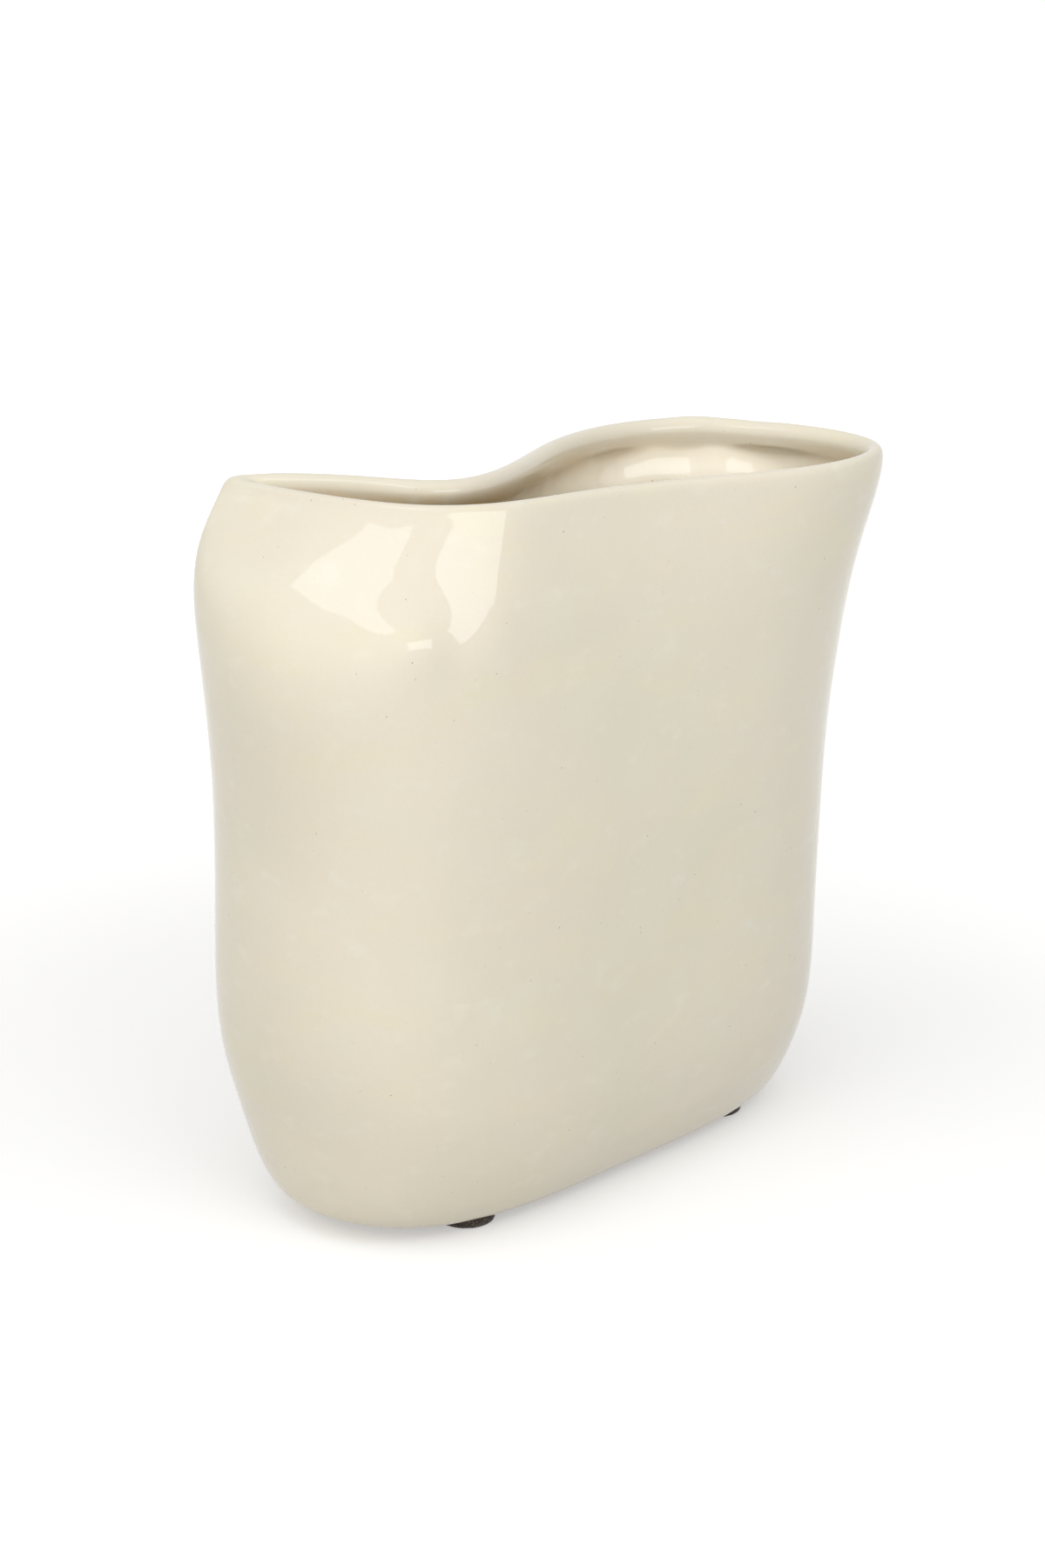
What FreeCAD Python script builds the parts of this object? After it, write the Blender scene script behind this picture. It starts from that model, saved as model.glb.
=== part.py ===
import FreeCAD, Part
import math
import os

import Sketcher

# Pillow vase: a slip-cast ceramic shell on four stick-on felt pads.
# Millimetres, +Z up. The front wall faces -Y and the open corner of the mouth is at +X.
# The origin lies under the middle of the whole outline, where the pads stand.

doc = FreeCAD.newDocument("pillow_vase")

# Driving sizes

SIZES = [
    ("half_width", 114, "half the body's width, left to right"),
    ("half_depth", 58, "half the body's depth, front to back"),
    ("ceramic_height", 228, "underside of the ceramic to the crest of the lip"),
    ("wall", 5, "thickness of the wall below the lip"),
    ("floor_thickness", 6, "thickness of the floor"),
    ("bead_height", 5.4, "how far the lip's crest stands over the last ring of the wall"),
    ("crest_width", 4.2, "width of the lip's crest before it rolls inwards"),
    ("bead_swell", 2.4, "how far the lip's bead hangs inwards past the wall"),
    ("neck_depth", 8, "how far the back of the bulb is drawn in under its flared lip"),
    ("pad_radius", 9, "radius of a felt pad"),
    ("pad_thickness", 3, "thickness of a felt pad"),
    ("pad_edge", 0.9, "rounding of a felt pad's lower edge"),
    ("tack_thickness", 0.2, "thickness of the adhesive disc on a pad"),
    ("tack_margin", 0.6, "how far the adhesive disc stays inside the pad's rim"),
    ("pad_span_x", 118, "pad to pad along the width"),
    ("pad_span_y", 48, "pad to pad along the depth"),
    ("pad_shift_x", 8, "how far the middle of the pads sits towards the mouth's open corner"),
]

sheet = doc.addObject("Spreadsheet::Sheet", "sizes")
for row, (alias, value, note) in enumerate(SIZES, start=1):
    sheet.set(f"A{row}", note)
    sheet.set(f"B{row}", str(value))
    sheet.setAlias(f"B{row}", alias)
doc.recompute()


def size(alias):
    return float(sheet.get(alias))


# Outlines of the shell, as shares of half the width and half the depth

# One point for each of the 18 columns of the skin, from the left end round the front.
PLAN_SHARES = [
    (-1.00, 0.20), (-0.97, -0.38), (-0.80, -0.82), (-0.48, -1.00), (-0.15, -1.00), (0.15, -1.00),
    (0.45, -1.00), (0.75, -0.88), (0.95, -0.55), (1.00, 0.00), (0.95, 0.55), (0.75, 0.88),
    (0.45, 1.00), (0.18, 1.00), (-0.08, 1.00), (-0.35, 1.00), (-0.62, 0.97), (-0.90, 0.70),
]

# The mouth: a pinched slit that curls back at the left end and opens to a wide bulb at the
# right. The third share drops the lip round the slit's tip and towards the bulb, as a share
# of the lip's bead.
MOUTH_SHARES = [
    (-0.695, 0.68, -0.45), (-0.69, 0.20, -0.20), (-0.625, -0.38, -0.10), (-0.41, -0.685, -0.22),
    (-0.06, -0.70, -0.59), (0.295, -0.89, -0.96), (0.62, -1.10, -1.30), (0.908, -1.06, -1.48),
    (1.034, -0.82, -1.48), (1.034, -0.40, -1.48), (0.945, 0.085, -1.48), (0.81, 0.415, -1.48),
    (0.56, 0.535, -1.33), (0.265, 0.385, -1.02), (-0.03, 0.055, -0.56), (-0.33, -0.115, -0.22),
    (-0.435, 0.41, -0.14), (-0.71, 1.03, -0.15),
]

# How late each column turns towards the mouth, as a power of the ring's own share of it.
# The left end keeps a full shoulder and is pinched in only just under the lip. The back
# leans in early and slowly.
PINCH_POWER_SHARES = [
    3.2, 2.6, 2, 1.5, 1, 1, 1, 1, 1, 0.9, 0.7, 0.5, 0.45, 0.45, 0.6, 1, 1.2, 2.6,
]

# How much each column is drawn in at the neck: only the back of the bulb is.
NECK_SHARES = [0, 0, 0, 0, 0, 0, 0, 0, 0, 0.3, 0.8, 1, 1, 0.7, 0.2, 0, 0, 0]

# Rings from the underside up: height as a share of the ceramic's height, reach to the left
# and right and depth as shares of the half sizes, how much of the mouth's shape is in it, and
# how much of the neck.
RING_SHARES = [
    (0.000, 0.66, 0.80, 0.63, 0.00, 0.0),
    (0.000, 0.78, 0.93, 0.66, 0.00, 0.0),
    (0.027, 0.865, 0.935, 0.79, 0.00, 0.0),
    (0.136, 0.90, 0.98, 0.995, 0.00, 0.0),
    (0.258, 0.975, 0.99, 1.025, 0.00, 0.0),
    (0.403, 0.975, 1.01, 1.00, 0.00, 0.0),
    (0.548, 0.97, 1.02, 1.00, 0.05, 0.0),
    (0.688, 0.99, 1.035, 1.00, 0.20, 0.1),
    (0.820, 1.055, 1.045, 1.00, 0.465, 0.6),
    (0.916, 1.21, 1.055, 1.02, 0.82, 1.0),
    (0.976, 1.21, 1.06, 1.03, 1.00, 0.0),
]

# The inside follows the outer rings, moved inwards and up: shares of the wall and of the
# floor's thickness. Under the shoulder it moves down, which keeps the wall's thickness there.
INSIDE_SHARES = [
    (0.00, 1.00), (0.20, 1.00), (0.80, 0.75), (1.00, 0.08), (1.00, 0.00), (1.00, 0.00),
    (1.00, 0.00), (1.00, -0.20), (1.00, -0.50), (1.00, -0.75),
]

# Section of the lip, from the wall's outside over the crest to the groove under the bead:
# shares of the crest's width and the bead's swell to move inwards, of the bead's height to
# move up, and of the way down to the wall's next ring.
LIP_SHARES = [
    (0.19, 0.00, 1.00, 0.00),
    (1.19, 0.00, 1.00, 0.00),
    (1.19, 1.00, 0.40, 0.00),
    (1.19, 0.75, -0.06, 0.05),
    (1.19, -0.08, -0.17, 0.18),
    (1.19, 0.00, -0.48, 0.52),
]


def blend(low, high, share):
    return low + (high - low) * share


def wall_ring(shares):
    """One ring of the shell's outside: the plan oval, drawn towards the mouth's outline."""
    height, left, right, depth, mouth, neck = shares
    foot = size("pad_thickness") + size("tack_thickness")
    middle = (right - left) / 2
    reach = (right + left) / 2
    ring = []
    columns = zip(PLAN_SHARES, MOUTH_SHARES, PINCH_POWER_SHARES)
    for (plan_x, plan_y), (mouth_x, mouth_y, drop), delay in columns:
        pinch = mouth ** delay
        x = size("half_width") * blend(middle + reach * plan_x, mouth_x, pinch)
        y = size("half_depth") * blend(depth * plan_y, mouth_y, pinch)
        z = foot + size("ceramic_height") * height + size("bead_height") * drop * pinch
        ring.append(FreeCAD.Vector(x, y, z))
    return inset(ring, [size("neck_depth") * neck * share for share in NECK_SHARES], 0)


def leftwards(start, end):
    """Level direction to the left of the way from one point to the next."""
    step = end - start
    length = math.hypot(step.x, step.y)
    return FreeCAD.Vector(-step.y / length, step.x / length, 0)


def inset(ring, inwards, upwards):
    """The ring moved towards the shell's inside, by one length for each column, and up."""
    moved = []
    for index, point in enumerate(ring):
        before = leftwards(ring[index - 1], point)
        after = leftwards(point, ring[(index + 1) % len(ring)])
        corner = (before + after) * (2 / (before + after).Length ** 2)
        moved.append(point + corner * inwards[index] + FreeCAD.Vector(0, 0, upwards))
    return moved


def between_rings(upper, lower, share):
    return [top + (bottom - top) * share for top, bottom in zip(upper, lower)]


def shell_rings():
    """Every ring of the skin: up the outside, over the lip and down the inside."""
    outside = [wall_ring(shares) for shares in RING_SHARES]
    lip = []
    for crest, swell, rise, way_down in LIP_SHARES:
        ring = between_rings(outside[-1], outside[-2], way_down)
        inwards = size("crest_width") * crest + size("bead_swell") * swell
        lip.append(inset(ring, [inwards] * len(ring), size("bead_height") * rise))
    inside = []
    for ring, (sideways, upright) in zip(outside, INSIDE_SHARES):
        inwards = [size("wall") * sideways] * len(ring)
        inside.append(inset(ring, inwards, size("floor_thickness") * upright))
    return outside + lip + inside[::-1]


def skin_face(rings):
    """A smooth surface drawn by the rings: closed round the vase, open at the two floors."""
    degree = 3
    columns = len(rings[0])
    spans = len(rings) - degree
    poles = [[ring[column] for ring in rings] for column in range(columns)]
    surface = Part.BSplineSurface()
    surface.buildFromPolesMultsKnots(
        poles,
        [1] * (columns + 1),
        [degree + 1] + [1] * (spans - 1) + [degree + 1],
        list(range(columns + 1)),
        list(range(spans + 1)),
        True,
        False,
        degree,
        degree,
    )
    return surface.toShape()


def flat_edges(face):
    """The skin's two closed edges, the underside's first."""
    closed = [edge for edge in face.Edges if edge.isClosed()]
    return sorted(closed, key=lambda edge: edge.BoundBox.ZMin)


# Ceramic shell

# It is one free form with nothing flat or round to sketch, so it is a surface drawn by its
# rings and closed by the underside and the floor.
skin = skin_face(shell_rings())
underside_edge, floor_edge = flat_edges(skin)
underside = Part.Face(Part.Wire([underside_edge]))
floor = Part.Face(Part.Wire([floor_edge]))
shell = Part.makeShell([skin, underside, floor])
shell.sewShape()
shell_solid = Part.makeSolid(shell)
shell_box = shell_solid.optimalBoundingBox(False)

# The whole part is moved so that the middle of the shell's outline is over the origin.
# These two cells are measured, and everything is placed from them.
MEASURED = [
    ("outline_middle_x", shell_box.Center.x, "middle of the shell's outline along the width"),
    ("outline_middle_y", shell_box.Center.y, "middle of the shell's outline along the depth"),
]
for row, (alias, value, note) in enumerate(MEASURED, start=len(SIZES) + 1):
    sheet.set(f"A{row}", note)
    sheet.set(f"B{row}", str(value))
    sheet.setAlias(f"B{row}", alias)
doc.recompute()

vase = doc.addObject("Part::Feature", "vase_body")
vase.Label = "vase_body"
vase.Shape = shell_solid
vase.Placement.Base = FreeCAD.Vector(-size("outline_middle_x"), -size("outline_middle_y"), 0)

# Felt pads and their adhesive discs


def origin_plane(body, role):
    return next(plane for plane in body.Origin.OriginFeatures if plane.Role == role)


def disc(name, radius, thickness):
    """A body with one round sketch on its own XY plane, padded upwards."""
    body = doc.addObject("PartDesign::Body", name)
    body.Label = name
    sketch = body.newObject("Sketcher::SketchObject", name + "_outline")
    sketch.AttachmentSupport = [(origin_plane(body, "XY_Plane"), "")]
    sketch.MapMode = "FlatFace"
    sketch.addGeometry(Part.Circle(FreeCAD.Vector(), FreeCAD.Vector(0, 0, 1), size("pad_radius")))
    sketch.addConstraint(Sketcher.Constraint("Coincident", 0, 3, -1, 1))
    sketch.addConstraint(Sketcher.Constraint("Radius", 0, size("pad_radius")))
    sketch.setExpression("Constraints[1]", radius)
    pad = body.newObject("PartDesign::Pad", name + "_thickness")
    pad.Profile = sketch
    pad.setExpression("Length", thickness)
    sketch.Visibility = False
    doc.recompute()
    return body, pad


def place(body, side_x, side_y, height):
    """Seats a disc under one corner of the vase."""
    across = f"sizes.pad_shift_x + {side_x} * sizes.pad_span_x / 2 - sizes.outline_middle_x"
    body.setExpression("Placement.Base.x", across)
    along = f"{side_y} * sizes.pad_span_y / 2 - sizes.outline_middle_y"
    body.setExpression("Placement.Base.y", along)
    body.setExpression("Placement.Base.z", height)


def round_lower_edge(body, pad, name):
    """Rolls the rim that a felt pad stands on."""
    lowest = min(range(len(pad.Shape.Edges)), key=lambda index: rim_height(pad.Shape.Edges[index]))
    rolled = body.newObject("PartDesign::Fillet", name + "_rolled_edge")
    rolled.Base = (pad, [f"Edge{lowest + 1}"])
    rolled.setExpression("Radius", "sizes.pad_edge")
    body.Tip = rolled


def rim_height(edge):
    """Height of a level rim; an upright seam counts as higher than any rim."""
    level = edge.BoundBox.ZLength < edge.BoundBox.DiagonalLength / 2
    return edge.BoundBox.ZMax if level else math.inf


CORNERS = {
    "front_left": (-1, -1),
    "front_right": (1, -1),
    "back_left": (-1, 1),
    "back_right": (1, 1),
}

parts = [vase]
for corner, (side_x, side_y) in CORNERS.items():
    felt_name = "felt_pad_" + corner
    felt, felt_disc = disc(felt_name, "sizes.pad_radius", "sizes.pad_thickness")
    round_lower_edge(felt, felt_disc, felt_name)
    place(felt, side_x, side_y, "0 mm")

    tack_name = "adhesive_disc_" + corner
    tack, tack_disc = disc(tack_name, "sizes.pad_radius - sizes.tack_margin", "sizes.tack_thickness")
    place(tack, side_x, side_y, "sizes.pad_thickness")
    parts += [felt, tack]

doc.recompute()

# Checks, then one file for each piece

for item in doc.Objects:
    if "Invalid" in item.State or "Error" in item.State:
        raise RuntimeError(f"{item.Name} did not build: {item.State}")
for part in parts:
    if part.Shape.isNull() or not part.Shape.isValid():
        raise RuntimeError(f"{part.Label} has no valid shape")
    if len(part.Shape.Solids) != 1:
        raise RuntimeError(f"{part.Label} is not one solid")

os.makedirs("parts", exist_ok=True)
for part in parts:
    part.Shape.exportStep(f"parts/{part.Label}.step")
    box = part.Shape.BoundBox
    spans = [f"{low:.1f} to {high:.1f}" for low, high in
             ((box.XMin, box.XMax), (box.YMin, box.YMax), (box.ZMin, box.ZMax))]
    print(part.Label, "volume", round(part.Shape.Volume), "box", ", ".join(spans))
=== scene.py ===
# %% [markdown]
# # A pillow vase in cream glaze
# This lesson dresses a measured model of a soft, flattened ceramic vase. The measured model
# gives the places and sizes. Here the vase gets its hand-made surface, its glossy glaze and
# its felt feet, and then the light and the camera of a plain studio.
#
# The first step loads the measured model. Its pieces stay where they are, and whatever is
# made here is laid over them in the same frame, in metres.

# %% Load the measured model
import math

import bpy
import numpy as np
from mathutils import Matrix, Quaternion, Vector, noise


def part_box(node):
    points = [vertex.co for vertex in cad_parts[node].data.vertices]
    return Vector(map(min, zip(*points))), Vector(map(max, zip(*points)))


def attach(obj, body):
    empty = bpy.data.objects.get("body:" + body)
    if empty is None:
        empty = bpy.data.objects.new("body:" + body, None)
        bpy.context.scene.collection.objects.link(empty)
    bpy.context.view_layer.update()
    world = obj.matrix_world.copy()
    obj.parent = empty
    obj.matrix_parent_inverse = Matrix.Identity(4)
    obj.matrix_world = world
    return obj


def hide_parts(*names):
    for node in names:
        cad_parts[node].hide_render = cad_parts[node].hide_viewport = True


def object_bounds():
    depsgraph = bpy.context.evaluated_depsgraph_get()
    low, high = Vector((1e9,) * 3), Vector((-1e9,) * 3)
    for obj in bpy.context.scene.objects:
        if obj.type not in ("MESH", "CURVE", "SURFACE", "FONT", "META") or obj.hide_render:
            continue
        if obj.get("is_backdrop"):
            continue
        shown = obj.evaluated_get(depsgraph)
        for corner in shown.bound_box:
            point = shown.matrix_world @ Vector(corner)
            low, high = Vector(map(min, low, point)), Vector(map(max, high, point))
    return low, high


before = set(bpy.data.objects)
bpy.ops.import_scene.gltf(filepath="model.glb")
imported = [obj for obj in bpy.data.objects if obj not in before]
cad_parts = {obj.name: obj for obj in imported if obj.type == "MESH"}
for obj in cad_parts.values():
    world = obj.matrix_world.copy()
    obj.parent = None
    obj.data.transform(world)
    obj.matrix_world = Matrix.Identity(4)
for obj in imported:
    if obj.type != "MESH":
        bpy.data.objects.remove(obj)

measured_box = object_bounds()
MM = 0.001
BODY = "root"
print("measured pieces:", ", ".join(sorted(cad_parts)))

# %% [markdown]
# ## The shaping rings
# A slip-cast vase has no straight line in it, so it could be sculpted, or a box could be
# subdivided. Here it is drawn by rings instead, the way a potter thinks of a pot: the foot,
# the belly, the shoulder and the lip each come from a few rings of 18 points. The same rings
# shape the measured model, so both agree.
#
# A ring is an oval that turns, higher up, into the outline of the mouth. The numbers are
# shares of the half width, the half depth and the height, and they are easy to change: try a
# rounder belly. Many of them were fitted to the outline in the photograph and then rounded.

# %% Sizes in millimetres, and shares of them
HALF_WIDTH = 114
HALF_DEPTH = 58
CERAMIC_HEIGHT = 228
FOOT_HEIGHT = 3.2
WALL = 5
FLOOR_THICKNESS = 6
BEAD_HEIGHT = 5.4
CREST_WIDTH = 4.2
BEAD_SWELL = 2.4
NECK_DEPTH = 8

# The belly's oval, one (x, y) for each column, from the left end round the front.
PLAN_SHARES = [
    (-1.00, 0.20), (-0.97, -0.38), (-0.80, -0.82), (-0.48, -1.00), (-0.15, -1.00), (0.15, -1.00),
    (0.45, -1.00), (0.75, -0.88), (0.95, -0.55), (1.00, 0.00), (0.95, 0.55), (0.75, 0.88),
    (0.45, 1.00), (0.18, 1.00), (-0.08, 1.00), (-0.35, 1.00), (-0.62, 0.97), (-0.90, 0.70),
]

# The mouth's outline: a pinched slit at the left, a wide bulb at the right. The third number
# lowers the lip, in heights of its bead.
MOUTH_SHARES = [
    (-0.695, 0.68, -0.45), (-0.69, 0.20, -0.20), (-0.625, -0.38, -0.10), (-0.41, -0.685, -0.22),
    (-0.06, -0.70, -0.59), (0.295, -0.89, -0.96), (0.62, -1.10, -1.30), (0.908, -1.06, -1.48),
    (1.034, -0.82, -1.48), (1.034, -0.40, -1.48), (0.945, 0.085, -1.48), (0.81, 0.415, -1.48),
    (0.56, 0.535, -1.33), (0.265, 0.385, -1.02), (-0.03, 0.055, -0.56), (-0.33, -0.115, -0.22),
    (-0.435, 0.41, -0.14), (-0.71, 1.03, -0.15),
]

# A high power keeps a column on the belly's oval until just under the lip.
PINCH_POWERS = [
    3.2, 2.6, 2, 1.5, 1, 1, 1, 1, 1, 0.9, 0.7, 0.5, 0.45, 0.45, 0.6, 1, 1.2, 2.6,
]

# How much each column is drawn in at the neck behind the bulb.
NECK_SHARES = [0, 0, 0, 0, 0, 0, 0, 0, 0, 0.3, 0.8, 1, 1, 0.7, 0.2, 0, 0, 0]

# For each ring: height, reach to the left, to the right, depth, share of the mouth, of the neck.
RING_SHARES = [
    (0.000, 0.66, 0.80, 0.63, 0.00, 0.0),
    (0.000, 0.78, 0.93, 0.66, 0.00, 0.0),
    (0.027, 0.865, 0.935, 0.79, 0.00, 0.0),
    (0.136, 0.90, 0.98, 0.995, 0.00, 0.0),
    (0.258, 0.975, 0.99, 1.025, 0.00, 0.0),
    (0.403, 0.975, 1.01, 1.00, 0.00, 0.0),
    (0.548, 0.97, 1.02, 1.00, 0.05, 0.0),
    (0.688, 0.99, 1.035, 1.00, 0.20, 0.1),
    (0.820, 1.055, 1.045, 1.00, 0.465, 0.6),
    (0.916, 1.21, 1.055, 1.02, 0.82, 1.0),
    (0.976, 1.21, 1.06, 1.03, 1.00, 0.0),
]
print("rings of the outside:", len(RING_SHARES), "with", len(PLAN_SHARES), "points each")

# %% [markdown]
# ## From shares to rings
# Each row of shares becomes one ring of points. A share of the mouth between 0 and 1 blends
# the oval into the mouth's outline.
#
# The same vase also needs rings that lie a few millimetres inside others, for the neck, the
# bead and the wall. Making a ring smaller by a factor would be simpler, but then the wall would
# come out thicker at the ends than at the front. So each point moves square to its own line.

# %% Rings of the outside
def moved_inwards(ring, distances, upwards=0.0):
    """The ring drawn towards the inside of the vase, square to its own line, and lifted."""
    ahead = np.roll(ring, -1, axis=0) - ring
    steps = ahead[:, :2] / np.linalg.norm(ahead[:, :2], axis=1, keepdims=True)
    leftwards = np.stack([-steps[:, 1], steps[:, 0]], axis=1)
    both = leftwards + np.roll(leftwards, 1, axis=0)
    both *= 2 / np.sum(both ** 2, axis=1, keepdims=True)
    moved = ring.copy()
    moved[:, :2] += both * np.reshape(distances, (-1, 1))
    moved[:, 2] += upwards
    return moved


def outside_ring(height, left, right, depth, mouth, neck):
    """One ring in millimetres, from its row of shares."""
    plan = np.array(PLAN_SHARES)
    lip = np.array(MOUTH_SHARES)
    pinch = mouth ** np.array(PINCH_POWERS)
    oval_x = (right - left) / 2 + (right + left) / 2 * plan[:, 0]
    ring = np.empty((len(plan), 3))
    ring[:, 0] = HALF_WIDTH * (oval_x + (lip[:, 0] - oval_x) * pinch)
    ring[:, 1] = HALF_DEPTH * (depth * plan[:, 1] + (lip[:, 1] - depth * plan[:, 1]) * pinch)
    ring[:, 2] = FOOT_HEIGHT + CERAMIC_HEIGHT * height + BEAD_HEIGHT * lip[:, 2] * pinch
    return moved_inwards(ring, NECK_DEPTH * neck * np.array(NECK_SHARES))


outside_rings = [outside_ring(*shares) for shares in RING_SHARES]
print("mean heights of the rings in mm:", [round(float(ring[:, 2].mean())) for ring in outside_rings])

# %% [markdown]
# ## Over the lip and down the inside
# The lip of such a vase is a soft rolled bead, left where the clay was folded and sponged. A
# bevel on a thin shell would give an even round. Six more rings give the bead its own section
# instead: over the crest, down its inner side, and into the groove under it.
#
# Inside, each outer ring comes back, moved in by the wall's thickness.

# %% Rings of the lip and the inside
# Each lip ring: shares of the crest's width, the bead's swell and height, and of the way down.
LIP_SHARES = [
    (0.19, 0.00, 1.00, 0.00),
    (1.19, 0.00, 1.00, 0.00),
    (1.19, 1.00, 0.40, 0.00),
    (1.19, 0.75, -0.06, 0.05),
    (1.19, -0.08, -0.17, 0.18),
    (1.19, 0.00, -0.48, 0.52),
]

# Each inside ring: shares of the wall to move in, and of the floor's thickness to move up.
INSIDE_SHARES = [
    (0.00, 1.00), (0.20, 1.00), (0.80, 0.75), (1.00, 0.08), (1.00, 0.00), (1.00, 0.00),
    (1.00, 0.00), (1.00, -0.20), (1.00, -0.50), (1.00, -0.75),
]

top_ring, ring_below = outside_rings[-1], outside_rings[-2]
lip_rings = []
for crest, swell, rise, way_down in LIP_SHARES:
    start = top_ring + (ring_below - top_ring) * way_down
    inwards = np.full(len(start), CREST_WIDTH * crest + BEAD_SWELL * swell)
    lip_rings.append(moved_inwards(start, inwards, BEAD_HEIGHT * rise))

inside_rings = []
for ring, (sideways, upright) in zip(outside_rings, INSIDE_SHARES):
    inwards = np.full(len(ring), WALL * sideways)
    inside_rings.append(moved_inwards(ring, inwards, FLOOR_THICKNESS * upright))

all_rings = np.array(outside_rings + lip_rings + inside_rings[::-1])
print("rings in all:", len(all_rings))

# %% [markdown]
# ## A smooth skin from the rings
# A subdivision surface would round these rings off too, but it treats the first and last one
# differently. A cubic spline is as smooth, and it is the curve the measured model uses. Every
# point of the skin is a weighted sum of four rings times four columns, so two small tables of
# weights give the whole skin in one product.

# %% Spline weights
DEGREE = 3


def spline_weights(count, places, closed):
    """How much each of the control points counts at each place along a cubic spline."""
    spans = count if closed else count - DEGREE
    knots = np.arange(-DEGREE, spans + DEGREE + 1, dtype=float)
    if not closed:
        knots = np.clip(knots, 0, spans)
    place = np.minimum(places, spans - 1e-9)[:, None]
    weights = ((knots[:-1] <= place) & (place < knots[1:])).astype(float)
    for order in range(1, DEGREE + 1):
        before, after = knots[:-order - 1], knots[order + 1:]
        rise, fall = knots[order:-1] - before, after - knots[1:-order]
        nothing = np.zeros((len(place), len(before)))
        up = np.divide(place - before, rise, out=nothing.copy(), where=rise > 0)
        down = np.divide(after - place, fall, out=nothing.copy(), where=fall > 0)
        weights = up * weights[:, :-1] + down * weights[:, 1:]
    if closed:
        weights[:, :DEGREE] += weights[:, spans:]
        weights = weights[:, :spans]
    return weights


STEPS_ROUND = 18
STEPS_UP = 11
column_places = np.arange(0, len(PLAN_SHARES), 1 / STEPS_ROUND)
ring_spans = len(all_rings) - DEGREE
ring_places = np.linspace(0, ring_spans, ring_spans * STEPS_UP + 1)
column_weights = spline_weights(len(PLAN_SHARES), column_places, closed=True)
ring_weights = spline_weights(len(all_rings), ring_places, closed=False)
print("weights near the middle of the first span:", ring_weights[STEPS_UP // 2, :DEGREE + 1].round(2))

# %% [markdown]
# ## Lay the skin in its place
# The rings are drawn about the belly's middle. The measured vase says where that middle goes.

# %% The skin
skin = np.einsum("rk,kcd,pc->rpd", ring_weights, all_rings, column_weights)
low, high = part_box("vase_body")
middle = (np.array(low) + np.array(high)) / 2 / MM
drawn_middle = (skin.min(axis=(0, 1)) + skin.max(axis=(0, 1))) / 2
skin[..., :2] += (middle - drawn_middle)[:2]
print("skin:", skin.shape[0], "by", skin.shape[1], "points, moved by", (middle - drawn_middle)[:2])

# %% [markdown]
# ## What hands leave behind
# Cast clay is never even. It sinks where it was held while soft, it keeps a dent, and it puckers
# where the wall turns under to the foot. A bump map would only shade this. Moving the skin's
# points along its normals changes the reflections as the real dents do, and the outline too.
#
# Everything here is made of a few soft shapes: smooth noise, and bells round a point, a line
# or a ring. A fade says where one region ends and the next one starts.

# %% Soft shapes
def skin_normals(points):
    """The direction out of the clay at each point of the skin."""
    round_the_vase = np.roll(points, -1, axis=1) - np.roll(points, 1, axis=1)
    up_the_vase = np.gradient(points, axis=0)
    normals = np.cross(round_the_vase, up_the_vase)
    return normals / (np.linalg.norm(normals, axis=2, keepdims=True) + 1e-12)


def smooth_noise(points, size, seed):
    """Noise from -1 to 1 that changes over about that many millimetres."""
    spots = (points.reshape(-1, 3) / size + seed).tolist()
    return np.array([noise.noise(spot) for spot in spots]).reshape(points.shape[:2])


def bell(points, centre, radius):
    """1 at the centre, about a third at the radius, and nothing far off."""
    distance = np.linalg.norm(points - np.array(centre), axis=2)
    return np.exp(-(distance / radius) ** 2)


def bell_along(points, start, end, radius):
    """A bell round the line from start to end."""
    start, way = np.array(start), np.array(end) - np.array(start)
    along = np.clip((points - start) @ way / (way @ way), 0, 1)
    distance = np.linalg.norm(points - start - along[..., None] * way, axis=2)
    return np.exp(-(distance / radius) ** 2)


def ring_bell(place, reach):
    """A bell round one ring of the skin, with its reach counted in rings."""
    return np.exp(-((ring_places - place) / reach) ** 2)[:, None]


def fade(values, start, end):
    """0 at the start, 1 at the end, and smooth in between."""
    share = np.clip((values - start) / (end - start), 0, 1)
    return share * share * (3 - 2 * share)


print("fade from 0 to 1 in four steps:", fade(np.linspace(0, 1, 5), 0, 1).round(2))

# %% [markdown]
# ## Choose the dents
# Two layers of smooth noise make the broad waviness. Over it come dents and folds. Those under
# the rim matter most. On the front, a swell along the rim, a hollow below it and a few more
# swells straighten the wall, so that each light shows as a pane. Inside the bulb, hollows and
# swells take turns and split the light in two.
#
# They began as a search by computer for the swells that mirror the lights where the photograph
# shows them. Its points were thinned out and set again, by working out where the lights mirror
# and by looking at renders, and some still stand as it gave them. Small changes move the panes
# a lot.

# %% Dents and folds
# Dents, each with its middle, its radius and how far it lifts the skin.
OUTSIDE_DENTS = [
    ((-93, -33, 191), 18, 1.8), ((-113, 0, 130), 20, -0.7), ((-99, -9, 19), 4, -0.4),
    ((-100, -4, 24), 4, 0.3), ((-86, -36, 46), 18, 0.5), ((-86, -36, 195), 9, 2.0),
]
INSIDE_DENTS = [
    ((62, 24, 212), 13, -2.0), ((78, 19, 206), 11, 1.8), ((87, 15, 213), 11, -1.0),
    ((98, 4, 206), 11, 2.6), ((103, -5, 213), 13, -3.0), ((91, 11, 198), 13, 1.5),
]
LIP_DENTS = [((92, 14, 225), 8, 0.6), ((-76, 43, 229), 5, -0.5), ((103, -3, 224), 6, -0.3)]

# Long swells and hollows, each with the ends of its line, its radius and its lift.
OUTSIDE_FOLDS = [
    ((-85, 7, 221), (-51, -35, 224), 14, 0.9),
    ((-94, -16, 209), (-78, -33, 209), 17, -1.8),
    ((-60, -43, 203), (-66, -45, 188), 11, 0.8),
]
INSIDE_FOLDS = [
    ((75, 20, 202), (98, 2, 202), 13, 0.4),
    ((60, 24, 202), (102, -4, 202), 8, 0.8),
]

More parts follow.
